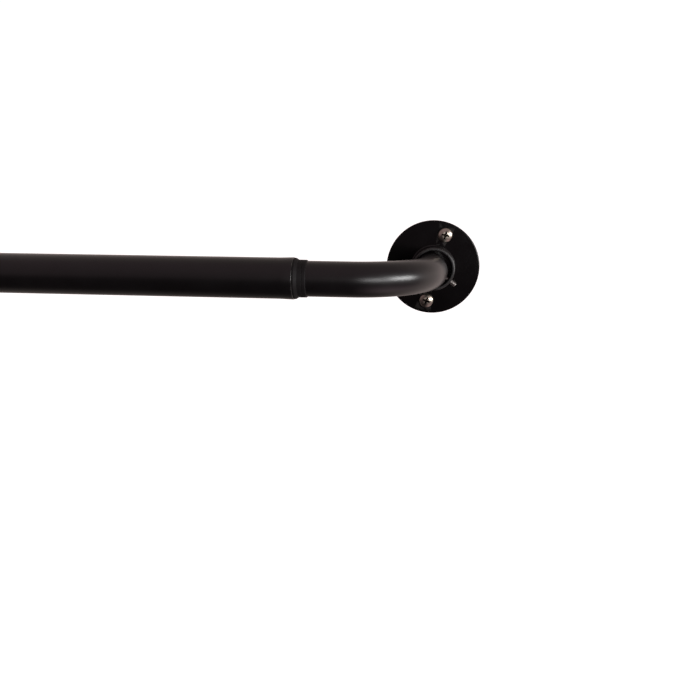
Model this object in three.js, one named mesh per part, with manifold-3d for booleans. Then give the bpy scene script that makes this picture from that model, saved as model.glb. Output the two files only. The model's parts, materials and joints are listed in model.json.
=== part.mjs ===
// Wrap-around curtain rod: two telescoping steel tubes whose ends bend back to the wall, each
// held in the collar of a round flange by a set screw. Two screws and plugs hold each flange.
// Both collars are bored for the thicker tube, so the thinner one lies against its collar's side.
//
// Millimetres. +X runs along the rod to the right, +Y into the wall and +Z up. The origin is
// the centre of the right-hand flange's back face, where it meets the wall.

import * as THREE from 'three';
import { mergeVertices } from 'three/addons/utils/BufferGeometryUtils.js';
import Module from 'manifold-3d';

const wasm = await Module();
wasm.setup();

// ---- Driving dimensions -------------------------------------------------------------------

const closedSpan = 711; // flange axis to flange axis with the rod pushed in
const drawnOutAtRest = 20; // how far the rod is drawn out as it stands here
const bendRadius = 50.8; // of both tubes' centre lines
const stubBeyondCollar = 9.2; // straight tube between the collar's rim and the bend
const endGap = 0.3; // between a tube's end and the flange plate
const fitGap = 0.08; // radial, between a round piece and the flats of the bore around it
const seatGap = 0.1; // between two faces that rest on each other

const outerTubeRadius = 12.7;
const tubeWall = 0.7;
const telescopeGap = 1; // radial, from the outer tube's bore to the inner tube

const sleeveRimProud = 0.3; // how far the sleeve's rim stands out round the outer tube
const sleeveRimLength = 1.1;
const sleeveConeLength = 1.8;
const sleeveNoseWall = 0.6; // the nose's outside, over the inner tube
const sleeveNoseLength = 5.2;
const sleeveSpigotLength = 18;
const noseToBendClosed = 6.5; // what is left between nose and bend with the rod pushed in

const glideFlangeLength = 6;
const glideSpigotLength = 14;
const glideWall = 1.6;
const glideToBendClosed = 5; // between the glide and the far bend with the rod pushed in

const plateThickness = 3;
const plateEdgeChamfer = 0.5;
const collarClearance = 0.3; // radial, round the outer tube
const collarWall = 2;
const collarHeight = 12;
const collarChamfer = 0.35;
const headToCollar = 3.9; // from a wall screw's head to the collar, with the screw mid-slot
const headToRim = 3.9; // from a wall screw's head to the plate's rim
const slotTravel = 1.1; // each way from the slot's middle, for levelling
const slotLineOffset = 1; // the slots' middles lie on a line this far to the side of the centre

const setScrewRadius = 2;
const setScrewLength = 10;
const setScrewHoleClearance = 0.15;
const setScrewSocketRadius = 1.15; // across the corners of the hexagon
const setScrewSocketDepth = 1.9;
const setScrewChamfer = 0.35;

const wallScrewHeadRadius = 5.1;
const wallScrewHeadHeight = 3.1;
const wallScrewHeadRim = 0.9; // the straight side under the dome
const wallScrewRadius = 2.4;
const wallScrewLength = 38; // under the head
const wallScrewPoint = 6;
const wallScrewSlotClearance = 0.35; // on each side of the shank
const crossLength = 5.2; // the cross recess, at the top of the head
const crossFloorLength = 1.8;
const crossWidth = 1.05;
const crossDepth = 2;

const plugRadius = 4;
const plugBoreClearance = 0.2;
const plugLength = 32;
const plugSunk = 2.5; // how far the plug is set below the wall's face
const plugRibs = 6;
const plugRibDepth = 0.45;
const plugSplit = 1;
const plugSolidMouth = 9; // the part that isn't split

const slotAngle = 76; // degrees from +X towards +Z, as a bracket is seen from the room
const setScrewAngle = -36;
const leftBracketTurn = 210; // the left bracket is the same part, turned in its own plane

const tubeSides = 32; // a multiple of four, so that every round piece lines up on the axes
const bendSteps = 12;
const discSides = 48;
const screwSides = 16;

// ---- Sizes that follow --------------------------------------------------------------------

const flatsOver = Math.cos(Math.PI / tubeSides); // a polygon's flats over its corners

const outerTubeBore = outerTubeRadius - tubeWall;
const innerTubeRadius = outerTubeBore - telescopeGap;
const innerTubeBore = innerTubeRadius - tubeWall;

const collarBore = outerTubeRadius + collarClearance;
const collarRadius = collarBore + collarWall;
const collarFront = plateThickness + collarHeight; // distance from the wall
const standoff = collarFront + stubBeyondCollar + bendRadius;
const span = closedSpan + drawnOutAtRest;

const screwCircle = collarRadius + headToCollar + wallScrewHeadRadius;
const plateRadius = screwCircle + wallScrewHeadRadius + headToRim;

const rightTubeShift = collarBore - innerTubeRadius - seatGap; // from its collar's axis
const noseEndX = -(rightTubeShift + bendRadius + noseToBendClosed + drawnOutAtRest);
const mouthX = noseEndX - sleeveNoseLength - sleeveConeLength - sleeveRimLength;
const hiddenEndX = -span + bendRadius + drawnOutAtRest + glideToBendClosed + glideFlangeLength;

const collarMiddle = plateThickness + collarHeight / 2;

// ---- Solids -------------------------------------------------------------------------------

/** The corner radius of a bore whose flats clear a round piece of this radius at any turn. */
function boreRound(radius) {
  return (radius + fitGap) / flatsOver;
}

/** A three.js geometry as a solid: its vertices merged, its faces turned to point outwards. */
function solid(geometry) {
  geometry.deleteAttribute('normal');
  geometry.deleteAttribute('uv');
  const merged = mergeVertices(geometry, 1e-4);
  const corners = merged.index.array;
  const kept = [];
  for (let i = 0; i < corners.length; i += 3) {
    const [a, b, c] = corners.subarray(i, i + 3);
    if (a !== b && b !== c && c !== a) kept.push(a, b, c);
  }
  const made = manifoldOf(merged.attributes.position.array, kept);
  if (made.volume() > 0) return made;
  for (let i = 0; i < kept.length; i += 3) {
    [kept[i], kept[i + 1]] = [kept[i + 1], kept[i]];
  }
  return manifoldOf(merged.attributes.position.array, kept);
}

function manifoldOf(vertices, triangles) {
  const vertProperties = new Float32Array(vertices);
  const triVerts = new Uint32Array(triangles);
  return new wasm.Manifold(new wasm.Mesh({ numProp: 3, vertProperties, triVerts }));
}

/** A solid as a named mesh with its own material. */
function piece(name, shape, finish) {
  const { vertProperties, triVerts } = shape.getMesh();
  const geometry = new THREE.BufferGeometry();
  geometry.setAttribute('position', new THREE.BufferAttribute(vertProperties, 3));
  geometry.setIndex(new THREE.BufferAttribute(triVerts, 1));
  geometry.computeVertexNormals();
  const mesh = new THREE.Mesh(geometry, new THREE.MeshStandardMaterial(finish));
  mesh.name = name;
  return mesh;
}

/** A turned solid round the Y axis, from a profile of [radius, y] points. */
function turned(profile, sides) {
  const points = profile.map(([radius, y]) => new THREE.Vector2(radius, y));
  return solid(new THREE.LatheGeometry(points, sides));
}

/** A turned ring: the same, with a profile that closes on itself away from the axis. */
function ring(profile, sides) {
  return turned([...profile, profile[0]], sides);
}

/** A ring round the X axis, from [radius, x] points. */
function ringAlongX(profile, sides) {
  const points = [...profile, profile[0]].map(([radius, x]) => new THREE.Vector2(radius, x));
  return solid(new THREE.LatheGeometry(points, sides).rotateZ(-Math.PI / 2));
}

/** A round bar round the Y axis, between two values of y. */
function bar(radius, yFrom, yTo, sides) {
  const geometry = new THREE.CylinderGeometry(radius, radius, yTo - yFrom, sides);
  return solid(geometry.translate(0, (yFrom + yTo) / 2, 0));
}

/** A square-edged block between two corners. */
function block(low, high) {
  const size = high.map((value, i) => value - low[i]);
  const middle = high.map((value, i) => (value + low[i]) / 2);
  return solid(new THREE.BoxGeometry(...size).translate(...middle));
}

/** The unit vector at an angle in the plane of a bracket, as it is seen from the room. */
function direction(degrees) {
  const angle = THREE.MathUtils.degToRad(degrees);
  return new THREE.Vector3(Math.cos(angle), 0, Math.sin(angle));
}

// ---- Tubes --------------------------------------------------------------------------------

/** From a tube's end at the wall, out from the wall, round the bend and along the rod. */
class RodPath extends THREE.Curve {
  constructor(wallX, towards, farX) {
    super();
    const centre = new THREE.Vector3(wallX + towards * bendRadius, bendRadius - standoff, 0);
    const wallEnd = new THREE.Vector3(wallX, -plateThickness - endGap, 0);
    const farEnd = new THREE.Vector3(farX, -standoff, 0);
    this.stations = [{ point: wallEnd, tangent: new THREE.Vector3(0, -1, 0) }];
    for (let step = 0; step <= bendSteps; step += 1) {
      const angle = (step / bendSteps) * (Math.PI / 2);
      const outwards = new THREE.Vector3(-towards * Math.cos(angle), -Math.sin(angle), 0);
      const tangent = new THREE.Vector3(towards * Math.sin(angle), -Math.cos(angle), 0);
      const point = centre.clone().addScaledVector(outwards, bendRadius);
      this.stations.push({ point, tangent });
    }
    this.stations.push({ point: farEnd, tangent: new THREE.Vector3(towards, 0, 0) });
    this.steps = this.stations.length - 1;
  }

  getPointAt(share) {
    return this.stations[Math.round(share * this.steps)].point.clone();
  }

  getTangentAt(share) {
    return this.stations[Math.round(share * this.steps)].tangent.clone();
  }
}

/** A bent tube along a rod path. */
function bentTube(radius, path) {
  const section = new THREE.Shape().absarc(0, 0, radius, 0, 2 * Math.PI);
  section.holes.push(new THREE.Path().absarc(0, 0, radius - tubeWall, 0, 2 * Math.PI));
  const options = { extrudePath: path, steps: path.steps, curveSegments: tubeSides / 2 };
  return solid(new THREE.ExtrudeGeometry(section, options));
}

/** The stepped sleeve in the outer tube's mouth, which guides the inner tube. */
function mouthSleeve() {
  const bore = boreRound(innerTubeRadius);
  const spigotRadius = outerTubeBore * flatsOver - fitGap;
  const rimRadius = outerTubeRadius + sleeveRimProud;
  const noseRadius = innerTubeRadius + sleeveNoseWall;
  const coneX = noseEndX - sleeveNoseLength - sleeveConeLength;
  return ringAlongX(
    [
      [bore, mouthX - sleeveSpigotLength],
      [spigotRadius, mouthX - sleeveSpigotLength],
      [spigotRadius, mouthX],
      [rimRadius, mouthX],
      [rimRadius, coneX],
      [noseRadius, coneX + sleeveConeLength],
      [noseRadius, noseEndX - sleeveNoseWall / 2],
      [noseRadius - sleeveNoseWall / 4, noseEndX],
      [bore, noseEndX],
    ],
    tubeSides,
  );
}

/** The glide that slides in the outer tube, with a spigot in the inner tube's hidden end. */
function innerGlide() {
  const slidingRadius = outerTubeBore * flatsOver - fitGap;
  const spigotRadius = innerTubeBore * flatsOver - fitGap;
  const bore = spigotRadius - glideWall;
  const shoulderX = hiddenEndX - seatGap;
  return ringAlongX(
    [
      [bore, shoulderX - glideFlangeLength],
      [slidingRadius, shoulderX - glideFlangeLength],
      [slidingRadius, shoulderX],
      [spigotRadius, shoulderX],
      [spigotRadius, shoulderX + glideSpigotLength],
      [bore, shoulderX + glideSpigotLength],
    ],
    tubeSides,
  );
}

// ---- Bracket pieces, round the Y axis with the wall at y = 0 ------------------------------

function flangePlate() {
  let plate = turned(
    [
      [0, -plateThickness],
      [plateRadius - plateEdgeChamfer, -plateThickness],
      [plateRadius, plateEdgeChamfer - plateThickness],
      [plateRadius, 0],
      [0, 0],
    ],
    discSides,
  );
  const aside = direction(slotAngle - 90).multiplyScalar(slotLineOffset);
  for (const side of [1, -1]) {
    const centre = direction(slotAngle).multiplyScalar(side * screwCircle).add(aside);
    plate = plate.subtract(slot().translate(centre.toArray()));
  }
  return plate;
}

/** A slot through the plate, across the line that joins the two slots. */
function slot() {
  const radius = wallScrewRadius + wallScrewSlotClearance;
  const along = direction(slotAngle - 90).multiplyScalar(slotTravel);
  const end = bar(radius, -plateThickness - 1, 1, screwSides);
  const middle = block([-slotTravel, -plateThickness - 1, -radius], [slotTravel, 1, radius]);
  return middle
    .rotate([0, 90 - slotAngle, 0]) // a turn about +Y takes +X towards -Z
    .add(end.translate(along.toArray()))
    .add(end.translate(along.negate().toArray()));
}

function collar() {
  const body = ring(
    [
      [collarBore, -plateThickness - seatGap],
      [collarRadius, -plateThickness - seatGap],
      [collarRadius, collarChamfer - collarFront],
      [collarRadius - collarChamfer, -collarFront],
      [collarBore + collarChamfer, -collarFront],
      [collarBore, collarChamfer - collarFront],
    ],
    tubeSides,
  );
  const radius = setScrewRadius + setScrewHoleClearance;
  const length = collarRadius + 1;
  const drill = new THREE.CylinderGeometry(radius, radius, length, screwSides);
  drill.translate(0, length / 2, 0).applyQuaternion(towardsSetScrew());
  return body.subtract(solid(drill.translate(0, -collarMiddle, 0)));
}

/** Turns the Y axis to lie along the set screw. */
function towardsSetScrew() {
  const up = new THREE.Vector3(0, 1, 0);
  return new THREE.Quaternion().setFromUnitVectors(up, direction(setScrewAngle));
}

/** A socket set screw along its own Y axis, its tip at y = 0. */
function setScrew() {
  const body = turned(
    [
      [0, 0],
      [setScrewRadius - setScrewChamfer, 0],
      [setScrewRadius, setScrewChamfer],
      [setScrewRadius, setScrewLength - setScrewChamfer],
      [setScrewRadius - setScrewChamfer, setScrewLength],
      [0, setScrewLength],
    ],
    screwSides,
  );
  const socketFloor = setScrewLength - setScrewSocketDepth;
  return body.subtract(bar(setScrewSocketRadius, socketFloor, setScrewLength + 1, 6));
}

/** One blade of a cross recess, cut in from the top of a head at y = -wallScrewHeadHeight. */
function crossBlade() {
  const top = crossLength / 2;
  const floor = crossFloorLength / 2;
  const outline = new THREE.Shape();
  outline.moveTo(-top, -wallScrewHeadHeight - 1);
  outline.lineTo(top, -wallScrewHeadHeight - 1);
  outline.lineTo(top, -wallScrewHeadHeight);
  outline.lineTo(floor, crossDepth - wallScrewHeadHeight);
  outline.lineTo(-floor, crossDepth - wallScrewHeadHeight);
  outline.lineTo(-top, -wallScrewHeadHeight);
  const blade = new THREE.ExtrudeGeometry(outline, { depth: crossWidth, bevelEnabled: false });
  return blade.translate(0, 0, -crossWidth / 2);
}

/** A cross-head wall screw along its own Y axis, the underside of its head at y = 0. */
function wallScrew() {
  const dome = new THREE.QuadraticBezierCurve(
    new THREE.Vector2(0, -wallScrewHeadHeight),
    new THREE.Vector2(wallScrewHeadRadius * 0.85, -wallScrewHeadHeight),
    new THREE.Vector2(wallScrewHeadRadius, -wallScrewHeadRim),
  );
  const body = turned(
    [
      ...dome.getPoints(6).map((point) => point.toArray()),
      [wallScrewHeadRadius, 0],
      [wallScrewRadius, 0],
      [wallScrewRadius, wallScrewLength - wallScrewPoint],
      [0, wallScrewLength],
    ],
    screwSides,
  );
  const across = solid(crossBlade());
  const along = solid(crossBlade().rotateY(Math.PI / 2));
  return body.subtract(across.add(along));
}

/** A ribbed wall plug along its own Y axis, its mouth at y = 0, split crosswise at its far end. */
function wallPlug() {
  const bore = wallScrewRadius + plugBoreClearance;
  const ribbedLength = plugLength - plugSolidMouth;
  const ribPitch = ribbedLength / plugRibs;
  const outline = [
    [bore, 0],
    [plugRadius, 0],
    [plugRadius, plugSolidMouth],
  ];
  for (let rib = 0; rib < plugRibs; rib += 1) {
    const y = plugSolidMouth + rib * ribPitch;
    outline.push([plugRadius - plugRibDepth, y + ribPitch * 0.1], [plugRadius, y + ribPitch]);
  }
  outline.push([bore, plugLength]);
  const half = plugSplit / 2;
  const slot = block([-plugRadius - 1, plugSolidMouth, -half], [plugRadius + 1, plugLength - 2, half]);
  return ring(outline, screwSides).subtract(slot);
}

// ---- Finishes -----------------------------------------------------------------------------

const blackTube = { color: 0x1a1718, roughness: 0.42, metalness: 0.35 };
const blackPlastic = { color: 0x141213, roughness: 0.5, metalness: 0 };
const blackFlange = { color: 0x121011, roughness: 0.38, metalness: 0.35 };
const nickel = { color: 0xa89f92, roughness: 0.3, metalness: 1 };
const zinc = { color: 0xc4c6c8, roughness: 0.28, metalness: 1 };
const paleNylon = { color: 0xcfcabd, roughness: 0.6, metalness: 0 };
const greyNylon = { color: 0x8f9296, roughness: 0.62, metalness: 0 };

// ---- Assembly -----------------------------------------------------------------------------

/** How far out along a set screw's line a tube's surface lies, its axis shifted to the left. */
function reachToTube(radius, shift) {
  const along = direction(setScrewAngle);
  return Math.sqrt(radius ** 2 - (shift * along.z) ** 2) - shift * along.x;
}

/** One bracket: plate, collar, set screw on the tube, and two wall screws in their plugs. */
function bracket(side, slotNames, tubeReach) {
  const group = new THREE.Group();
  group.add(piece(`${side}_flange_plate`, flangePlate(), blackFlange));
  group.add(piece(`${side}_collar`, collar(), blackFlange));

  const pin = piece(`${side}_set_screw`, setScrew(), zinc);
  pin.quaternion.copy(towardsSetScrew());
  pin.position.copy(direction(setScrewAngle)).multiplyScalar(tubeReach + seatGap);
  pin.position.y = -collarMiddle;
  group.add(pin);

  const inSlot = direction(slotAngle - 90).multiplyScalar(slotLineOffset + slotTravel);
  slotNames.forEach((slotName, index) => {
    const centre = direction(slotAngle + index * 180).multiplyScalar(screwCircle).add(inSlot);
    const screw = piece(`${side}_wall_screw_${slotName}`, wallScrew(), nickel);
    screw.position.set(centre.x, -plateThickness - seatGap, centre.z);
    const plug = piece(`${side}_wall_plug_${slotName}`, wallPlug(), greyNylon);
    plug.position.set(centre.x, plugSunk, centre.z);
    group.add(screw, plug);
  });
  return group;
}

const outerPath = new RodPath(-span, 1, mouthX - seatGap);
const innerPath = new RodPath(-rightTubeShift, -1, hiddenEndX);

const rightReach = reachToTube(innerTubeRadius, rightTubeShift);
const rightBracket = bracket('right', ['upper', 'lower'], rightReach);

const leftBracket = bracket('left', ['lower', 'upper'], outerTubeRadius);
leftBracket.position.x = -span;
leftBracket.rotation.y = -THREE.MathUtils.degToRad(leftBracketTurn);

const onRodAxis = new THREE.Group();
onRodAxis.position.y = -standoff;
onRodAxis.add(piece('mouth_sleeve', mouthSleeve(), blackPlastic));
onRodAxis.add(piece('inner_glide', innerGlide(), paleNylon));

const curtainRod = new THREE.Group();
curtainRod.add(piece('outer_tube', bentTube(outerTubeRadius, outerPath), blackTube));
curtainRod.add(piece('inner_tube', bentTube(innerTubeRadius, innerPath), blackTube));
curtainRod.add(onRodAxis, rightBracket, leftBracket);

export default curtainRod;
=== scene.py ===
"""Looks of the wrap-around curtain rod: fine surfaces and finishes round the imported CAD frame.

Metres, in the row's frame: +X along the rod, +Y into the wall, +Z up, and the origin at the centre of
the right-hand flange's back face.
"""

import json
import math

import bmesh
import bpy
import numpy as np
from mathutils import Matrix, Vector
from mathutils.bvhtree import BVHTree


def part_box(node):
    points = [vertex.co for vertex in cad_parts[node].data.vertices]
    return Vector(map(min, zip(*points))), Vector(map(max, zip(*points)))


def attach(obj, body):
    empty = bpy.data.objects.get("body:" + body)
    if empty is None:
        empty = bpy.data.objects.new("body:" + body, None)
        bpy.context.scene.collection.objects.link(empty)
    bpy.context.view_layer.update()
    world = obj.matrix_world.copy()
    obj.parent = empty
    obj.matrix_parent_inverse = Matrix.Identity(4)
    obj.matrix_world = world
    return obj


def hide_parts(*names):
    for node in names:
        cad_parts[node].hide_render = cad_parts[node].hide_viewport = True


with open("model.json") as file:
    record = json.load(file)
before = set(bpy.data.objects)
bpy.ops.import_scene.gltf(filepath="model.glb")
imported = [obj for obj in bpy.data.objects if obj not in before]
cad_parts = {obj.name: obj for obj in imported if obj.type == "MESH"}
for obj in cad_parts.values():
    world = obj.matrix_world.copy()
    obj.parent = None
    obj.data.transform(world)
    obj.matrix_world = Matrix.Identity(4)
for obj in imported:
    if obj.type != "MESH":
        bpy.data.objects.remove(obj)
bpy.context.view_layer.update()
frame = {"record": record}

MM = 0.001

# ---- Sizes: from the frame where a box gives them ------------------------------------------------------

OUTER_LOW, OUTER_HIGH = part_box("outer_tube")
INNER_LOW, INNER_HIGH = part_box("inner_tube")
SLEEVE_LOW, SLEEVE_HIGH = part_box("mouth_sleeve")
GLIDE_LOW, GLIDE_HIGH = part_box("inner_glide")
PLATE_LOW, PLATE_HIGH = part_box("right_flange_plate")
COLLAR_LOW, COLLAR_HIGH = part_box("right_collar")

OUTER_RADIUS = OUTER_HIGH.z
INNER_RADIUS = INNER_HIGH.z
ROD_Y = OUTER_LOW.y + OUTER_RADIUS
LEFT_X = OUTER_LOW.x + OUTER_RADIUS
RIGHT_X = INNER_HIGH.x - INNER_RADIUS
MOUTH_X = OUTER_HIGH.x
NOSE_X = SLEEVE_HIGH.x
TUBE_END_Y = OUTER_HIGH.y

PLATE_RADIUS = PLATE_HIGH.z
PLATE_FRONT_Y = PLATE_LOW.y
COLLAR_RADIUS = COLLAR_HIGH.z
COLLAR_FRONT_Y = COLLAR_LOW.y

MOUNTS = {mount["name"]: Vector(mount["pos_m"]) for mount in frame["record"]["mounts"]}

BEND_RADIUS = 50.8 * MM
TUBE_WALL = 0.7 * MM
MOUTH_FLARE = 0.3 * MM
MOUTH_FLARE_LENGTH = 9 * MM
MOUTH_LIP = 0.4 * MM
COLLAR_BORE = 13 * MM
SCREW_CIRCLE = 24 * MM
SLOT_RADIUS = 2.75 * MM
SLOT_TRAVEL = 1.1 * MM  # each way from the slot's middle; the screws stand at one end
SLOT_LINE_OFFSET = 1 * MM  # the slots' middles lie on a line this far to the side of the centre
HEAD_RADIUS = 5.1 * MM
HEAD_HEIGHT = 3.1 * MM
SHANK_LENGTH = 38 * MM
SHANK_RADIUS = 2.4 * MM
PLUG_RADIUS = 4 * MM
PLUG_LENGTH = 32 * MM
SET_SCREW_RADIUS = 2 * MM
SET_SCREW_LENGTH = 10 * MM
SEAT_GAP = 0.1 * MM
SLOT_ANGLE = 76  # in a bracket's plane, from +X towards +Z
SET_SCREW_ANGLE = -36
LEFT_TURN = 210  # the left bracket is the same part as the right one, turned in its own plane

ROUND = 96  # sides of the tubes, sleeve, glide and collars
DISC_ROUND = 128  # sides of the flange plates
SMALL_ROUND = 48  # sides of the screws and plugs
BEND_STEPS = 56
STRAIGHT_STEPS = 11
TOUCHING = 1e-6  # faces this close lie on each other
SMOOTH_BELOW = math.radians(32)  # edges flatter than this shade smooth


# ---- Outlines ------------------------------------------------------------------------------------------

def rounded(corners, steps=5):
    """A closed outline from (along, radius, fillet) corners, each fillet an arc."""
    outline = []
    count = len(corners)
    for i, (along, radius, fillet) in enumerate(corners):
        corner = Vector((along, radius))
        if fillet <= 0:
            outline.append(corner)
            continue
        before = Vector(corners[i - 1][:2]) - corner
        after = Vector(corners[(i + 1) % count][:2]) - corner
        half = before.angle(after) / 2
        reach = min(fillet / math.tan(half), before.length * 0.49, after.length * 0.49)
        bow = reach * math.tan(half)
        centre = corner + (before.normalized() + after.normalized()).normalized() * (bow / math.sin(half))
        start = corner + before.normalized() * reach - centre
        end = corner + after.normalized() * reach - centre
        turn = start.angle_signed(end)
        for step in range(steps + 1):
            outline.append(centre + Matrix.Rotation(-turn * step / steps, 2) @ start)
    return [(point.x, point.y) for point in outline]


def divided(outline, stations):
    """The same closed outline with a point wherever one of its sides crosses a station."""
    result = []
    for i, (along, radius) in enumerate(outline):
        result.append((along, radius))
        far_along, far_radius = outline[(i + 1) % len(outline)]
        low, high = sorted((along, far_along))
        crossed = [s for s in stations if low + 1e-6 < s < high - 1e-6]
        for s in sorted(crossed, reverse=far_along < along):
            share = (s - along) / (far_along - along)
            result.append((s, radius + share * (far_radius - radius)))
    return result


# ---- Meshes --------------------------------------------------------------------------------------------

def linked(name, mesh):
    """A scene object made from a bmesh, which it frees."""
    data = bpy.data.meshes.new(name)
    mesh.to_mesh(data)
    mesh.free()
    piece = bpy.data.objects.new(name, data)
    bpy.context.scene.collection.objects.link(piece)
    return piece


def straight(start, direction):
    """A straight path: where a distance along it is, and the two directions across it."""
    axis = Vector(direction).normalized()
    across = axis.orthogonal().normalized() if abs(axis.z) > 0.9 else axis.cross((0, 0, 1)).normalized()
    other = axis.cross(across)
    origin = Vector(start)
    return lambda along: (origin + axis * along, across, other)


def bent(wall_x, towards):
    """A tube's centre line from its end at the wall, round the bend and along the rod."""
    stub = TUBE_END_Y - (ROD_Y + BEND_RADIUS)
    arc = BEND_RADIUS * math.pi / 2
    centre = Vector((wall_x + towards * BEND_RADIUS, ROD_Y + BEND_RADIUS, 0))
    up = Vector((0, 0, 1))

    def place(along):
        if along <= stub:
            return Vector((wall_x, TUBE_END_Y - along, 0)), Vector((-towards, 0, 0)), up
        angle = min((along - stub) / BEND_RADIUS, math.pi / 2)
        outwards = Vector((-towards * math.cos(angle), -math.sin(angle), 0))
        past = max(along - stub - arc, 0)
        return centre + outwards * BEND_RADIUS + Vector((towards * past, 0, 0)), outwards, up

    return place, stub, arc


def swept(name, outline, place, sides=ROUND, ridge=None):
    """A closed outline of (along, radius) points carried round a path.

    ridge(along, turn) adds to the radius.
    """
    mesh = bmesh.new()
    rings = []
    for along, radius in outline:
        centre, across, other = place(along)
        ring = []
        for side in range(sides):
            turn = side / sides
            angle = 2 * math.pi * turn
            reach = radius + (ridge(along, turn) if ridge else 0)
            outwards = across * math.cos(angle) + other * math.sin(angle)
            ring.append(mesh.verts.new(centre + outwards * reach))
        rings.append(ring)
    for ring, following in zip(rings, rings[1:] + rings[:1]):
        for side in range(sides):
            nearby = (side + 1) % sides
            mesh.faces.new((ring[side], ring[nearby], following[nearby], following[side]))
    bmesh.ops.remove_doubles(mesh, verts=mesh.verts, dist=1e-7)
    bmesh.ops.dissolve_degenerate(mesh, edges=mesh.edges, dist=1e-8)
    bmesh.ops.recalc_face_normals(mesh, faces=mesh.faces)
    return linked(name, mesh)


def prism(name, layers):
    """A closed solid through layers of matching outlines, each a list of points."""
    mesh = bmesh.new()
    rows = [[mesh.verts.new(point) for point in layer] for layer in layers]
    count = len(rows[0])
    for row, following in zip(rows, rows[1:]):
        for i in range(count):
            mesh.faces.new((row[i], row[(i + 1) % count], following[(i + 1) % count], following[i]))
    mesh.faces.new(rows[0])
    mesh.faces.new(rows[-1])
    bmesh.ops.recalc_face_normals(mesh, faces=mesh.faces)
    return linked(name, mesh)


def cut(piece, cutter, hollow=False):
    """Takes the cutter away from the piece and deletes it. A hollow's faces are marked for the painted
    shade that the finish puts in recesses.
    """
    boolean = piece.modifiers.new("cut", "BOOLEAN")
    boolean.operation = "DIFFERENCE"
    boolean.solver = "EXACT"
    boolean.object = cutter
    made = bpy.data.meshes.new_from_object(piece.evaluated_get(bpy.context.evaluated_depsgraph_get()))
    piece.modifiers.clear()
    piece.data = made
    if hollow:
        corners = [vertex.co for vertex in cutter.data.vertices]
        walls = BVHTree.FromPolygons(corners, [face.vertices for face in cutter.data.polygons])
        inside = [walls.find_nearest(face.center)[3] < TOUCHING for face in made.polygons]
        marks = made.attributes.new("hollow", "FLOAT", "FACE")
        marks.data.foreach_set("value", np.array(inside, np.float32))
    bpy.data.objects.remove(cutter)


def direction(degrees):
    """The direction at an angle in a bracket's plane, from +X towards +Z as it is seen from the room."""
    angle = math.radians(degrees)
    return Vector((math.cos(angle), 0, math.sin(angle)))


# ---- Finishes ------------------------------------------------------------------------------------------

GRAIN_SCALE = 1400  # of the eroded grain on moulded nylon
# Painted shade: the dark brown that plated() puts on the faces of cross recesses and hex sockets in place
# of their shadow.
RECESS_PAINTED_SHADE = (0.035, 0.027, 0.02)


class Finish:
    """A node material with a Principled shader, and short ways to add nodes to it."""

    def __init__(self, name, **inputs):
        self.material = bpy.data.materials.new(name)
        self.material.use_nodes = True
        self.nodes = self.material.node_tree.nodes
        self.links = self.material.node_tree.links
        self.shader = self.nodes["Principled BSDF"]
        for socket, value in inputs.items():
            self.shader.inputs[socket.replace("_", " ")].default_value = value
        self.place = self.nodes.new("ShaderNodeTexCoord").outputs["Object"]

    def noise(self, scale, detail=3, roughness=0.55, stretch=None):
        node = self.nodes.new("ShaderNodeTexNoise")
        node.inputs["Scale"].default_value = scale
        node.inputs["Detail"].default_value = detail
        node.inputs["Roughness"].default_value = roughness
        place = self.place
        if stretch:
            mapping = self.nodes.new("ShaderNodeMapping")
            mapping.inputs["Scale"].default_value = stretch
            self.links.new(place, mapping.inputs["Vector"])
            place = mapping.outputs["Vector"]
        self.links.new(place, node.inputs["Vector"])
        return node.outputs["Fac"]

    def ranged(self, value, low, high, to_low, to_high):
        node = self.nodes.new("ShaderNodeMapRange")
        sockets = ("From Min", "From Max", "To Min", "To Max")
        for socket, number in zip(sockets, (low, high, to_low, to_high)):
            node.inputs[socket].default_value = number
        self.links.new(value, node.inputs["Value"])
        return node.outputs["Result"]

    def maths(self, operation, first, second):
        node = self.nodes.new("ShaderNodeMath")
        node.operation = operation
        for socket, value in zip(node.inputs, (first, second)):
            if isinstance(value, (int, float)):
                socket.default_value = value
            else:
                self.links.new(value, socket)
        return node.outputs["Value"]

    def mixed(self, share, first, second):
        node = self.nodes.new("ShaderNodeMix")
        node.data_type = "RGBA"
        self.links.new(share, node.inputs["Factor"])
        for socket, colour in zip((node.inputs["A"], node.inputs["B"]), (first, second)):
            if isinstance(colour, tuple):
                socket.default_value = (*colour, 1)
            else:
                self.links.new(colour, socket)
        return node.outputs["Result"]

    def worn(self, amount):
        """How worn each place is: patches along the edges that edges() marks. On the powder coat the
        patches are also a painted sheen.
        """
        attribute = self.nodes.new("ShaderNodeAttribute")
        attribute.attribute_name = "edge"
        patches = self.ranged(self.noise(260, 4), 0.46, 0.62, 0, amount)
        return self.maths("MULTIPLY", attribute.outputs["Fac"], patches)

    def drive(self, socket, value):
        self.links.new(value, self.shader.inputs[socket])

    def bump(self, height, strength, distance):
        node = self.nodes.new("ShaderNodeBump")
        node.inputs["Strength"].default_value = strength
        node.inputs["Distance"].default_value = distance
        self.links.new(height, node.inputs["Height"])
        self.links.new(node.outputs["Normal"], self.shader.inputs["Normal"])


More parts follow.
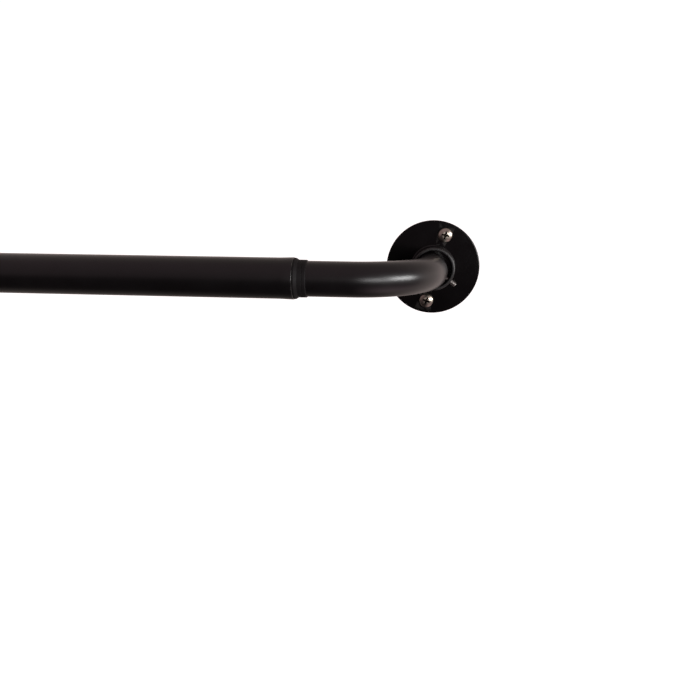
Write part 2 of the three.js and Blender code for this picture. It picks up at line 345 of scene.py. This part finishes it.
def powder_coat(name, dark, light, bare_and_sheen, roughness, wear_and_sheen, ior=1.5, peel_depth=0.16):
    """Black powder coat: fine orange peel, faint mottling, and a little metal showing at worn edges. The
    lighter bare metal at the edges is partly wear and partly a painted sheen on the tube's lips and the
    collar's rim.
    """
    finish = Finish(name, Metallic=0.0, IOR=ior)
    mottle = finish.ranged(finish.noise(38, 5), 0.3, 0.7, 0, 1)
    grain = finish.noise(2600, 2)
    peel = finish.noise(900, 3)
    # Edge patches of lighter bare metal: partly wear, partly a painted sheen on lips and rims.
    worn = finish.worn(wear_and_sheen)
    finish.drive("Base Color", finish.mixed(worn, finish.mixed(mottle, dark, light), bare_and_sheen))
    uneven = finish.ranged(finish.noise(90, 4), 0.25, 0.75, roughness - 0.035, roughness + 0.035)
    finish.drive("Roughness", finish.maths("ADD", uneven, finish.ranged(grain, 0.3, 0.7, -0.012, 0.012)))
    finish.drive("Metallic", worn)
    coarse = finish.maths("MULTIPLY", peel, 0.7)
    fine = finish.maths("MULTIPLY", grain, 0.3)
    finish.bump(finish.maths("ADD", coarse, fine), peel_depth, 0.12 * MM)
    return finish.material


def moulded(name, dark, light, roughness, subsurface=0.0, ior=1.53):
    """Moulded nylon: a fine eroded grain and slightly uneven gloss."""
    finish = Finish(name, IOR=ior, Subsurface_Weight=subsurface, Subsurface_Scale=0.002)
    mottle = finish.ranged(finish.noise(120, 4), 0.3, 0.7, 0, 1)
    finish.drive("Base Color", finish.mixed(mottle, dark, light))
    gloss = finish.noise(300, 4)
    finish.drive("Roughness", finish.ranged(gloss, 0.25, 0.75, roughness - 0.05, roughness + 0.05))
    finish.bump(finish.noise(GRAIN_SCALE, 3), 0.2, 0.08 * MM)
    return finish.material


def plated(name, bright, dull, roughness, wear_colour):
    """Bright plated steel: fine rolling marks, cloudy dull patches, darker worn edges, and painted shade in
    the hollows that cut() marks.
    """
    finish = Finish(name, Metallic=1.0)
    cloud = finish.ranged(finish.noise(420, 5), 0.35, 0.68, 0, 1)
    worn = finish.worn(0.55)
    plate = finish.mixed(worn, finish.mixed(cloud, bright, dull), wear_colour)
    # Painted shade: faces marked hollow (the cross recess and the hex socket) are darkened to the recess
    # colour.
    hollow = finish.nodes.new("ShaderNodeAttribute")
    hollow.attribute_name = "hollow"
    finish.drive("Base Color", finish.mixed(hollow.outputs["Fac"], plate, RECESS_PAINTED_SHADE))
    gloss = finish.noise(700, 4)
    finish.drive("Roughness", finish.ranged(gloss, 0.25, 0.75, roughness - 0.06, roughness + 0.1))
    marks = finish.noise(900, 3, stretch=(1, 9, 1))
    finish.bump(marks, 0.12, 0.06 * MM)
    return finish.material


# The tube's high wear lightens its lips with bare metal: partly edge wear, partly a painted sheen where the
# lips catch the light.
TUBE_BLACK = powder_coat(
    "tube_powder_coat", dark=(0.0032, 0.0027, 0.0029), light=(0.0048, 0.0041, 0.0044),
    bare_and_sheen=(0.12, 0.115, 0.11), roughness=0.3, wear_and_sheen=0.6,
)
FLANGE_BLACK = powder_coat(
    "flange_powder_coat", dark=(0.0016, 0.0014, 0.0015), light=(0.0026, 0.0023, 0.0024),
    bare_and_sheen=(0.12, 0.115, 0.11), roughness=0.11, wear_and_sheen=0.5, ior=1.4, peel_depth=0.06,
)
# The collar's worn rim shows lighter bare metal: partly edge wear, partly a painted sheen on the rim.
COLLAR_BLACK = powder_coat(
    "collar_powder_coat", dark=(0.0026, 0.0023, 0.0024), light=(0.0042, 0.0037, 0.0039),
    bare_and_sheen=(0.16, 0.155, 0.15), roughness=0.38, wear_and_sheen=0.5,
)
SLEEVE_BLACK = moulded(
    "sleeve_nylon", dark=(0.005, 0.0042, 0.0044), light=(0.0075, 0.0065, 0.0068),
    roughness=0.66, ior=1.27,
)
GLIDE_NYLON = moulded(
    "natural_nylon", dark=(0.56, 0.53, 0.44), light=(0.66, 0.63, 0.55),
    roughness=0.4, subsurface=0.15,
)
PLUG_NYLON = moulded(
    "grey_nylon", dark=(0.21, 0.225, 0.24), light=(0.27, 0.285, 0.3),
    roughness=0.42, subsurface=0.1,
)
NICKEL = plated(
    "warm_nickel", bright=(0.52, 0.46, 0.39), dull=(0.35, 0.31, 0.26),
    roughness=0.28, wear_colour=(0.2, 0.165, 0.13),
)
ZINC = plated(
    "bright_zinc", bright=(0.36, 0.34, 0.32), dull=(0.24, 0.23, 0.22),
    roughness=0.38, wear_colour=(0.2, 0.2, 0.2),
)


# ---- Finishing a piece ---------------------------------------------------------------------------------

def edges(mesh):
    """Stores how sharply the surface turns at each vertex, 0 to 1, in the attribute that worn() reads."""
    surface = bmesh.new()
    surface.from_mesh(mesh)
    sharpness = np.zeros(len(surface.verts), np.float32)
    flattest = math.radians(9)
    widest = math.radians(14)
    for edge in surface.edges:
        if len(edge.link_faces) == 2 and edge.is_convex:
            bend = edge.calc_face_angle(0)
            share = min(max((bend - flattest) / widest, 0), 1)
            for vertex in edge.verts:
                sharpness[vertex.index] = max(sharpness[vertex.index], share)
    surface.free()
    mesh.attributes.new("edge", "FLOAT", "POINT").data.foreach_set("value", sharpness)


def finished(piece, node, body, material):
    """Gives a piece its material and shading, and sets it in place of its CAD node."""
    piece.data.materials.clear()
    piece.data.materials.append(material)
    edges(piece.data)
    piece.data.shade_smooth()
    piece.data.set_sharp_from_angle(angle=SMOOTH_BELOW)
    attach(piece, body)
    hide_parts(node)
    return piece


# ---- Rod -----------------------------------------------------------------------------------------------

def bent_tube(name, wall_x, towards, length, radius, flare):
    """A thin tube with rounded lips, its mouth opened out by the flare."""
    place, stub, arc = bent(wall_x, towards)
    lip = TUBE_WALL * 0.42
    bore = radius - TUBE_WALL
    corners = [(0, bore, lip), (0, radius, lip)]
    if flare:
        flare_at = length - MOUTH_FLARE_LENGTH
        ease = MOUTH_FLARE_LENGTH * 3
        corners += [(flare_at, radius, ease), (length, radius + flare, MOUTH_LIP)]
        corners += [(length, bore + flare * 0.6, lip), (flare_at, bore, ease)]
    else:
        corners += [(length, radius, lip), (length, bore, lip)]
    bend_stations = [stub + arc * step / BEND_STEPS for step in range(BEND_STEPS + 1)]
    straight_stations = np.linspace(stub + arc, length, STRAIGHT_STEPS + 1)[1:-1]
    outline = divided(rounded(corners), [*bend_stations, *straight_stations])
    return swept(name, outline, place)


def rod():
    stub_and_bend = (TUBE_END_Y - ROD_Y - BEND_RADIUS) + BEND_RADIUS * math.pi / 2
    outer_length = stub_and_bend + MOUTH_X - (LEFT_X + BEND_RADIUS)
    outer = bent_tube("outer_tube_steel", LEFT_X, 1, outer_length, OUTER_RADIUS, MOUTH_FLARE)
    finished(outer, "outer_tube", "outer_tube", TUBE_BLACK)
    inner_length = stub_and_bend + (RIGHT_X - BEND_RADIUS) - INNER_LOW.x
    inner = bent_tube("inner_tube_steel", RIGHT_X, -1, inner_length, INNER_RADIUS, 0)
    finished(inner, "inner_tube", "inner_tube", TUBE_BLACK)


def mouth_sleeve():
    """A rim just inside the tube's flared lip, a cone, and a grooved nose round the inner tube."""
    rim = OUTER_RADIUS
    nose = INNER_RADIUS + 0.6 * MM
    bore = INNER_RADIUS + 0.1 * MM
    spigot = OUTER_RADIUS - TUBE_WALL - 0.1 * MM
    length = NOSE_X - SLEEVE_LOW.x
    rim_at = MOUTH_X + 0.1 * MM - SLEEVE_LOW.x
    cone_at = rim_at + 1 * MM
    nose_at = cone_at + 1.8 * MM
    groove_at = nose_at + 2.6 * MM
    groove = 0.4 * MM
    corners = [
        (0, bore, 0.2 * MM), (0, spigot, 0.4 * MM),
        (rim_at, spigot, 0.1 * MM), (rim_at, rim, 0.1 * MM),
        (cone_at, rim, 0.3 * MM), (nose_at, nose, 0.6 * MM),
        (groove_at, nose, 0.08 * MM), (groove_at + groove / 2, nose - 0.25 * MM, 0.08 * MM),
        (groove_at + groove, nose, 0.08 * MM),
        (length - 0.4 * MM, nose - 0.05 * MM, 0.2 * MM), (length, nose - 0.45 * MM, 0.1 * MM),
        (length, bore, 0.08 * MM),
    ]
    place = straight((SLEEVE_LOW.x, ROD_Y, 0), (1, 0, 0))
    piece = swept("mouth_sleeve_moulding", rounded(corners), place)
    finished(piece, "mouth_sleeve", "outer_tube", SLEEVE_BLACK)


def inner_glide():
    """The flanged glide, its sliding face ribbed so that little of it rubs."""
    slide = GLIDE_HIGH.z
    spigot = INNER_RADIUS - TUBE_WALL - 0.15 * MM
    bore = spigot - 1.6 * MM
    length = GLIDE_HIGH.x - GLIDE_LOW.x
    flange = 6 * MM
    rib = 0.9 * MM
    rib_pitch = 2.55 * MM
    between = slide - 0.5 * MM
    corners = [(0, bore, 0.2 * MM)]
    for start in (0, rib_pitch, 2 * rib_pitch):
        corners += [(start, slide, 0.2 * MM), (start + rib, slide, 0.2 * MM)]
        if start + rib < flange - 0.1 * MM:
            corners += [(start + rib, between, 0.1 * MM), (start + rib_pitch, between, 0.1 * MM)]
    corners += [
        (flange, spigot, 0.1 * MM), (length, spigot - 0.25 * MM, 0.5 * MM), (length, bore, 0.2 * MM),
    ]
    place = straight((GLIDE_LOW.x, ROD_Y, 0), (1, 0, 0))
    piece = swept("inner_glide_moulding", rounded(corners), place)
    finished(piece, "inner_glide", "glide", GLIDE_NYLON)


# ---- Brackets: each piece is made round the Y axis and then put in place -------------------------------

def towards_wall(y):
    return straight((0, y, 0), (0, 1, 0))


def flange_plate(name):
    """A flat disc with a rolled front edge and two slots, their edges chamfered."""
    thickness = -PLATE_FRONT_Y
    flat = PLATE_RADIUS - 1.1 * MM
    corners = [
        (0, 0, 0), (0, flat, 0), (0, PLATE_RADIUS, 0.5 * MM),
        (thickness, PLATE_RADIUS, 0.25 * MM), (thickness, flat, 0), (thickness, 0, 0),
    ]
    plate = swept(name, rounded(corners, 7), towards_wall(PLATE_FRONT_Y), DISC_ROUND)
    aside = direction(SLOT_ANGLE - 90) * SLOT_LINE_OFFSET
    # Depths below the front face, each with how much wider than the slot the cutter is there.
    depths = [(-1 * MM, 1.5 * MM), (0.5 * MM, 0), (thickness - 0.2 * MM, 0), (thickness + 1 * MM, 1.2 * MM)]
    front = Vector((0, PLATE_FRONT_Y, 0))
    for side in (1, -1):
        middle = direction(SLOT_ANGLE) * side * SCREW_CIRCLE + aside + front
        layers = []
        for depth, wider in depths:
            layers.append(slot_outline(middle + Vector((0, depth, 0)), SLOT_RADIUS + wider))
        cut(plate, prism("slot", layers))
    return plate


def slot_outline(middle, radius, steps=20):
    """A slot across the line that joins a plate's two slots."""
    along = direction(SLOT_ANGLE - 90)
    across = direction(SLOT_ANGLE)
    outline = []
    for end in (1, -1):
        for step in range(steps + 1):
            angle = math.pi * (step / steps - 0.5)
            round_end = (along * math.cos(angle) + across * math.sin(angle)) * radius * end
            outline.append(middle + along * SLOT_TRAVEL * end + round_end)
    return outline


def collar(name):
    """A ring with a rounded rim, a small fillet of weld at its foot, and the set screw's hole."""
    height = PLATE_FRONT_Y - COLLAR_FRONT_Y
    weld = 0.9 * MM
    corners = [
        (0, COLLAR_BORE, 0.4 * MM), (0, COLLAR_RADIUS, 1.1 * MM),
        (height - weld, COLLAR_RADIUS, weld * 1.2), (height, COLLAR_RADIUS + weld, 0.05 * MM),
        (height, COLLAR_BORE, 0),
    ]
    body = swept(name, rounded(corners, 8), towards_wall(COLLAR_FRONT_Y))
    start = Vector((0, COLLAR_FRONT_Y + height / 2, 0))
    hole_radius = SET_SCREW_RADIUS + 0.06 * MM
    inside = 8 * MM
    outside = 20 * MM
    hole = [(inside, 0), (inside, hole_radius), (outside, hole_radius), (outside, 0)]
    cut(body, swept("drill", hole, straight(start, direction(SET_SCREW_ANGLE)), SMALL_ROUND))
    return body


def thread(pitch, depth, starts, ends, fade):
    """The radius that a screw thread adds: a helical ridge, fading out over a length at both ends."""
    def ridge(along, turn):
        if not starts < along < ends:
            return 0
        phase = (along / pitch - turn) % 1
        crest = max(0, 1 - abs(phase - 0.5) * 3.2)
        inside = min(1, (along - starts) / fade, (ends - along) / fade)
        return depth * crest * inside
    return ridge


def wall_screw(name):
    """A cross-head pan screw with a real thread, the underside of its head at y = 0."""
    core = SHANK_RADIUS * 0.74
    point = SHANK_LENGTH - 6.5 * MM
    thread_at = 3.2 * MM
    head = rounded([
        (-HEAD_HEIGHT, 0, 0), (-HEAD_HEIGHT * 0.98, HEAD_RADIUS * 0.5, 3 * MM),
        (-HEAD_HEIGHT * 0.68, HEAD_RADIUS * 0.93, 2.2 * MM), (-HEAD_HEIGHT * 0.2, HEAD_RADIUS, 0.5 * MM),
        (0, HEAD_RADIUS * 0.97, 0.25 * MM), (0, SHANK_RADIUS, 0.3 * MM),
        (2 * MM, SHANK_RADIUS * 0.93, 0), (thread_at, core, 0),
    ], 6)[:-1]
    shank = []
    for y in np.arange(thread_at, SHANK_LENGTH, 0.17 * MM):
        taper = 1 if y < point else (SHANK_LENGTH - y) / (SHANK_LENGTH - point)
        shank.append((y, core * taper ** 0.8))
    outline = [*head, *shank, (SHANK_LENGTH, 0)]
    ridge = thread(1.75 * MM, SHANK_RADIUS - core, 2.6 * MM, SHANK_LENGTH - 0.6 * MM, 3 * MM)
    screw = swept(name, outline, towards_wall(0), SMALL_ROUND, ridge)
    # hollow=True marks the recess faces for painted shade.
    cut(screw, cross_recess(), hollow=True)
    return screw


def cross_recess():
    """The tapered cross that a driver fits, with its corners eased."""
    def cross(y, reach, half, ease):
        quarter = [(reach, -half), (reach, half), (half + ease, half), (half, half + ease)]
        points = []
        for turn in range(4):
            rotation = Matrix.Rotation(math.radians(90 * turn), 2)
            points += [rotation @ Vector(point) for point in quarter]
        return [Vector((x, y, z)) for x, z in points]
    top = -HEAD_HEIGHT
    layers = [
        cross(top - 1 * MM, 3.5 * MM, 0.8 * MM, 0.4 * MM),
        cross(top + 0.1 * MM, 2.85 * MM, 0.62 * MM, 0.34 * MM),
        cross(top + 1.6 * MM, 1.7 * MM, 0.48 * MM, 0.22 * MM),
        cross(top + 2.5 * MM, 0.7 * MM, 0.32 * MM, 0.05 * MM),
    ]
    return prism("recess", layers)


def set_screw(name, length):
    """A threaded screw with a hexagon socket and a cupped tip, its tip at y = 0."""
    pitch = 0.7 * MM
    core = SET_SCREW_RADIUS - 0.3 * MM
    rows = np.arange(0.35 * MM, length - 0.3 * MM, 0.08 * MM)
    cup = [(0.35 * MM, 0), (0, core * 0.62)]
    end = [(length - 0.15 * MM, core), (length, core - 0.2 * MM), (length, 0)]
    outline = [*cup, *[(y, core) for y in rows], *end]
    ridge = thread(pitch, SET_SCREW_RADIUS - core, 0.3 * MM, length - 0.2 * MM, 0.35 * MM)
    screw = swept(name, outline, towards_wall(0), SMALL_ROUND, ridge)
    corner = 1.15 * MM
    hexagon = [direction(60 * side) * corner for side in range(6)]
    # Places along the screw, each with how wide the socket is there beside its own width.
    widths = [
        (length + 1 * MM, 1.35), (length + 0.02 * MM, 1.12), (length - 0.15 * MM, 1),
        (length - 1.9 * MM, 1), (length - 2.3 * MM, 0.2),
    ]
    layers = [[point * wide + Vector((0, y, 0)) for point in hexagon] for y, wide in widths]
    # hollow=True marks the socket faces for painted shade.
    cut(screw, prism("socket", layers), hollow=True)
    return screw


def wall_plug(name):
    """A ribbed nylon plug with a lip and split legs, its mouth at y = 0."""
    bore = SHANK_RADIUS + 0.2 * MM
    solid_mouth = 9 * MM
    ribs = 6
    pitch = (PLUG_LENGTH - solid_mouth - 3 * MM) / ribs
    neck = PLUG_RADIUS - 0.35 * MM
    corners = [
        (0, bore, 0.25 * MM), (0, PLUG_RADIUS, 0.3 * MM), (1.2 * MM, PLUG_RADIUS, 0.2 * MM),
        (1.5 * MM, neck, 0.2 * MM), (solid_mouth, neck, 0.2 * MM),
    ]
    for rib in range(ribs):
        y = solid_mouth + rib * pitch
        corners += [
            (y + 0.4 * MM, PLUG_RADIUS, 0.12 * MM), (y + 1.1 * MM, PLUG_RADIUS, 0.12 * MM),
            (y + pitch, PLUG_RADIUS - 0.6 * MM, 0.15 * MM),
        ]
    corners += [(PLUG_LENGTH, PLUG_RADIUS - 1 * MM, 0.4 * MM), (PLUG_LENGTH, bore, 0.1 * MM)]
    plug = swept(name, rounded(corners, 3), towards_wall(0), SMALL_ROUND)
    half = 0.5 * MM
    wide = PLUG_RADIUS + 1 * MM
    outline = [(-wide, -half), (wide, -half), (wide, half), (-wide, half)]
    layers = [[Vector((x, y, z)) for x, z in outline] for y in (solid_mouth, PLUG_LENGTH - 2 * MM)]
    cut(plug, prism("split", layers))
    return plug


def bracket(side, turn, tube_radius, tube_shift, screws):
    """One bracket: its plate, its collar with the set screw, and its wall screws in their plugs."""
    spin = Matrix.Translation(MOUNTS[f"{side}_wall_face"]) @ Matrix.Rotation(-math.radians(turn), 4, "Y")

    def put(piece, node, body, material, local=Matrix.Identity(4)):
        piece.data.transform(spin @ local)
        finished(piece, node, body, material)

    body = f"{side}_bracket"
    put(flange_plate(f"{side}_flange_disc"), f"{side}_flange_plate", body, FLANGE_BLACK)
    put(collar(f"{side}_collar_ring"), f"{side}_collar", body, COLLAR_BLACK)

    out = direction(SET_SCREW_ANGLE)
    aim = Vector((0, 1, 0)).rotation_difference(out).to_matrix().to_4x4()
    tip = math.sqrt(tube_radius ** 2 - (tube_shift * out.z) ** 2) - tube_shift * out.x + SEAT_GAP
    seated = Matrix.Translation(out * tip + Vector((0, (PLATE_FRONT_Y + COLLAR_FRONT_Y) / 2, 0)))
    pin = f"{side}_set_screw"
    put(set_screw(f"{pin}_socket", SET_SCREW_LENGTH), pin, pin, ZINC, seated @ aim)

    in_slot = direction(SLOT_ANGLE - 90) * (SLOT_LINE_OFFSET + SLOT_TRAVEL)
    for index, (place, driver_turn) in enumerate(screws):
        at = direction(SLOT_ANGLE + 180 * index) * SCREW_CIRCLE + in_slot
        driven = Matrix.Rotation(math.radians(driver_turn), 4, "Y")
        seated = Matrix.Translation(at + Vector((0, PLATE_FRONT_Y - 0.03 * MM, 0))) @ driven
        name = f"{side}_wall_screw_{place}"
        put(wall_screw(f"{name}_cross_head"), name, name, NICKEL, seated)
        plug = f"{side}_wall_plug_{place}"
        sunk = Matrix.Translation(at + Vector((0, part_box(plug)[0].y, 0)))
        put(wall_plug(f"{plug}_moulding"), plug, body, PLUG_NYLON, sunk)


# ---- Camera, stage and light ---------------------------------------------------------------------------

VIEWPOINT = Vector((-0.0205, -0.4636, 0.0531))
VIEW_ANGLES = (4.75, 14.04, 0.45)  # yaw to the left, pitch downwards, roll
LENS = 32.9
LIGHT_DISTANCE = 2.2
FLOOR_Z = -1.0


def camera():
    """Just left of the right-hand flange, half a metre out and a little above the rod."""
    yaw, pitch, roll = (math.radians(angle) for angle in VIEW_ANGLES)
    forward = Vector((-math.sin(yaw) * math.cos(pitch), math.cos(yaw) * math.cos(pitch), -math.sin(pitch)))
    right = Vector((math.cos(yaw), math.sin(yaw), 0))
    up = right.cross(forward)
    tilted_right = right * math.cos(roll) + up * math.sin(roll)
    tilted_up = up * math.cos(roll) - right * math.sin(roll)
    data = bpy.data.cameras.new("camera")
    data.lens = LENS
    data.sensor_width = 36
    data.clip_start = 0.01
    view = bpy.data.objects.new("camera", data)
    bpy.context.scene.collection.objects.link(view)
    view.matrix_world = Matrix((
        (tilted_right.x, tilted_up.x, -forward.x, VIEWPOINT.x),
        (tilted_right.y, tilted_up.y, -forward.y, VIEWPOINT.y),
        (tilted_right.z, tilted_up.z, -forward.z, VIEWPOINT.z),
        (0, 0, 0, 1),
    ))
    bpy.context.scene.camera = view


def floor():
    """A pale floor a metre below. It neither lights the pieces nor shows in their reflections."""
    mesh = bmesh.new()
    bmesh.ops.create_grid(mesh, x_segments=1, y_segments=1, size=30)
    piece = linked("floor", mesh)
    piece.location.z = FLOOR_Z
    finish = Finish(
        "pale_floor", Roughness=0.9, Base_Color=(0.85, 0.85, 0.85, 1),
        Emission_Color=(1, 1, 1, 1), Emission_Strength=0.85,
    )
    piece.data.materials.append(finish.material)
    piece.visible_glossy = False
    piece.visible_diffuse = False


def room():
    """A plain white surround for the camera, and a dim soft room for the surfaces to reflect."""
    world = bpy.data.worlds.new("room")
    bpy.context.scene.world = world
    world.use_nodes = True
    nodes = world.node_tree.nodes
    links = world.node_tree.links
    nodes.clear()

    def node(kind, **inputs):
        made = nodes.new(kind)
        for socket, value in inputs.items():
            made.inputs[socket.replace("_", " ")].default_value = value
        return made

    coordinates = node("ShaderNodeTexCoord")
    parts = node("ShaderNodeSeparateXYZ")
    links.new(coordinates.outputs["Generated"], parts.inputs["Vector"])

    def ramp(axis, tint, stops):
        """Brightness by one component of the direction: stops are (component, brightness)."""
        along = node("ShaderNodeMapRange", From_Min=-1, From_Max=1)
        links.new(parts.outputs[axis], along.inputs["Value"])
        colours = node("ShaderNodeValToRGB")
        elements = colours.color_ramp.elements
        while len(elements) < len(stops):
            elements.new(0.5)
        for element, (component, value) in zip(elements, stops):
            element.position = (component + 1) / 2
            element.color = (*(value * part for part in tint), 1)
        links.new(along.outputs["Result"], colours.inputs["Fac"])
        return colours.outputs["Color"]

    def blended(axis, low, high, below, above):
        """One light below a component of the direction, another above it, and a soft step between."""
        share = node("ShaderNodeMapRange", From_Min=low, From_Max=high)
        share.interpolation_type = "SMOOTHSTEP"
        links.new(parts.outputs[axis], share.inputs["Value"])
        mix = node("ShaderNodeMix")
        mix.data_type = "RGBA"
        links.new(share.outputs["Result"], mix.inputs["Factor"])
        links.new(below, mix.inputs["A"])
        links.new(above, mix.inputs["B"])
        return mix.outputs["Result"]

    warm = (1, 0.75, 0.81)
    left_ground = ramp("X", warm, [(-0.5, 0.035), (-0.2, 0.012)])
    right_ground = ramp("Z", warm, [(-0.95, 1.3), (-0.75, 0.7), (-0.5, 0.22), (-0.1, 0.2)])
    ground = blended("X", -0.05, 0.62, left_ground, right_ground)
    low_ceiling = ramp("X", warm, [(-0.7, 0.3), (-0.25, 0.16), (0.05, 0.2), (0.4, 0.29)])
    high_ceiling = ramp("Z", warm, [(0, 0.25), (0.9, 0.34)])
    ceiling = blended("Z", 0, 0.7, low_ceiling, high_ceiling)
    open_room = blended("Z", -0.26, 0.14, ground, ceiling)
    cream = (1, 0.84, 0.8)
    left_wall = ramp("Z", cream, [(-1, 0.07), (-0.6, 0.34), (0.1, 0.95), (0.6, 0.5), (1, 0.3)])
    right_wall = ramp("Z", cream, [(-1, 0.3), (-0.6, 0.85), (0.1, 1.05), (0.6, 0.5), (1, 0.3)])
    wall = blended("X", 0.05, 0.45, left_wall, right_wall)
    around = blended("Y", -0.15, 0.25, open_room, wall)

    dim = node("ShaderNodeBackground", Strength=1)
    links.new(around, dim.inputs["Color"])
    white = node("ShaderNodeBackground", Color=(1, 1, 1, 1), Strength=1.05)
    path = node("ShaderNodeLightPath")
    either = node("ShaderNodeMixShader")
    links.new(path.outputs["Is Camera Ray"], either.inputs["Fac"])
    links.new(dim.outputs["Background"], either.inputs[1])
    links.new(white.outputs["Background"], either.inputs[2])
    links.new(either.outputs["Shader"], node("ShaderNodeOutputWorld").inputs["Surface"])


def soft_light(name, azimuth, elevation, width, height, radiance):
    """A soft rectangular light facing the right-hand bend. Azimuth runs from -Y towards +X."""
    az, el = math.radians(azimuth), math.radians(elevation)
    towards = Vector((math.sin(az) * math.cos(el), -math.cos(az) * math.cos(el), math.sin(el)))
    data = bpy.data.lights.new(name, "AREA")
    data.shape = "RECTANGLE"
    data.size = width
    data.size_y = height
    data.energy = radiance * math.pi * width * height
    light = bpy.data.objects.new(name, data)
    bpy.context.scene.collection.objects.link(light)
    light.location = Vector((RIGHT_X - BEND_RADIUS / 2, ROD_Y, 0)) + towards * LIGHT_DISTANCE
    light.rotation_euler = (-towards).to_track_quat("-Z", "Y").to_euler()


bpy.context.scene.view_settings.view_transform = "Standard"
camera()
room()
floor()
soft_light("window", azimuth=61, elevation=8, width=1.2, height=0.62, radiance=17.5)
soft_light("far_window", azimuth=26, elevation=4, width=1.1, height=0.7, radiance=5.8)

rod()
mouth_sleeve()
inner_glide()
bracket("right", 0, INNER_RADIUS, -RIGHT_X, [("upper", 12), ("lower", 20)])
bracket("left", LEFT_TURN, OUTER_RADIUS, 0, [("lower", 35), ("upper", -8)])
